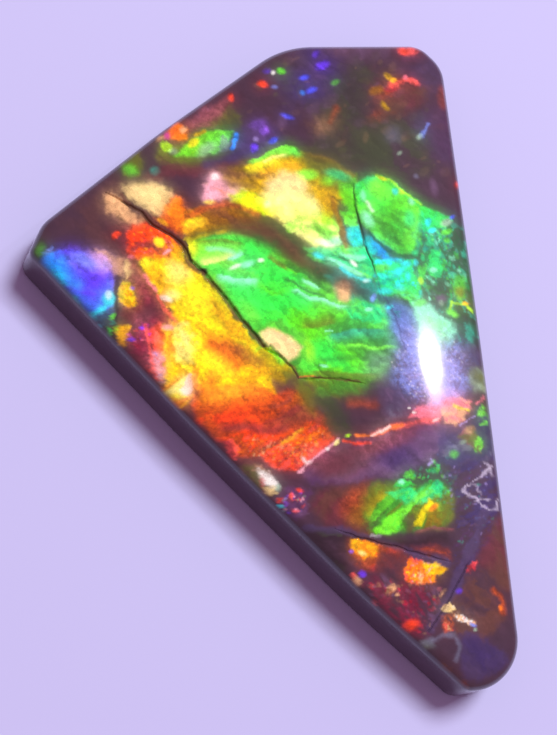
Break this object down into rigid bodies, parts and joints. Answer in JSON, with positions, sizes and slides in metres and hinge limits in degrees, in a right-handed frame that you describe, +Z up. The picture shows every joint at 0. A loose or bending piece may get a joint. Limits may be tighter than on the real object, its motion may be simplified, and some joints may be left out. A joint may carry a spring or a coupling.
{
  "type": "ammolite specimen",
  "caption": "Thin polished freeform of iridescent fossil shell on dark shale, with a crowned top, open fractures and a flat back to rest on.",
  "frame": {"origin": "middle of the plan box, on the flat back", "axes": "+Y along the stone's length towards its broad end, +X to its straight long side, +Z up out of the polished face"},
  "size_m": [0.0194, 0.0286, 0.003],
  "materials": {
    "ammolite": "polished iridescent shell in flashes of red, orange, green and blue over dark brown shale"
  },
  "bodies": {
    "root": {"ammolite_stone": "ammolite"}
  },
  "joints": []
}
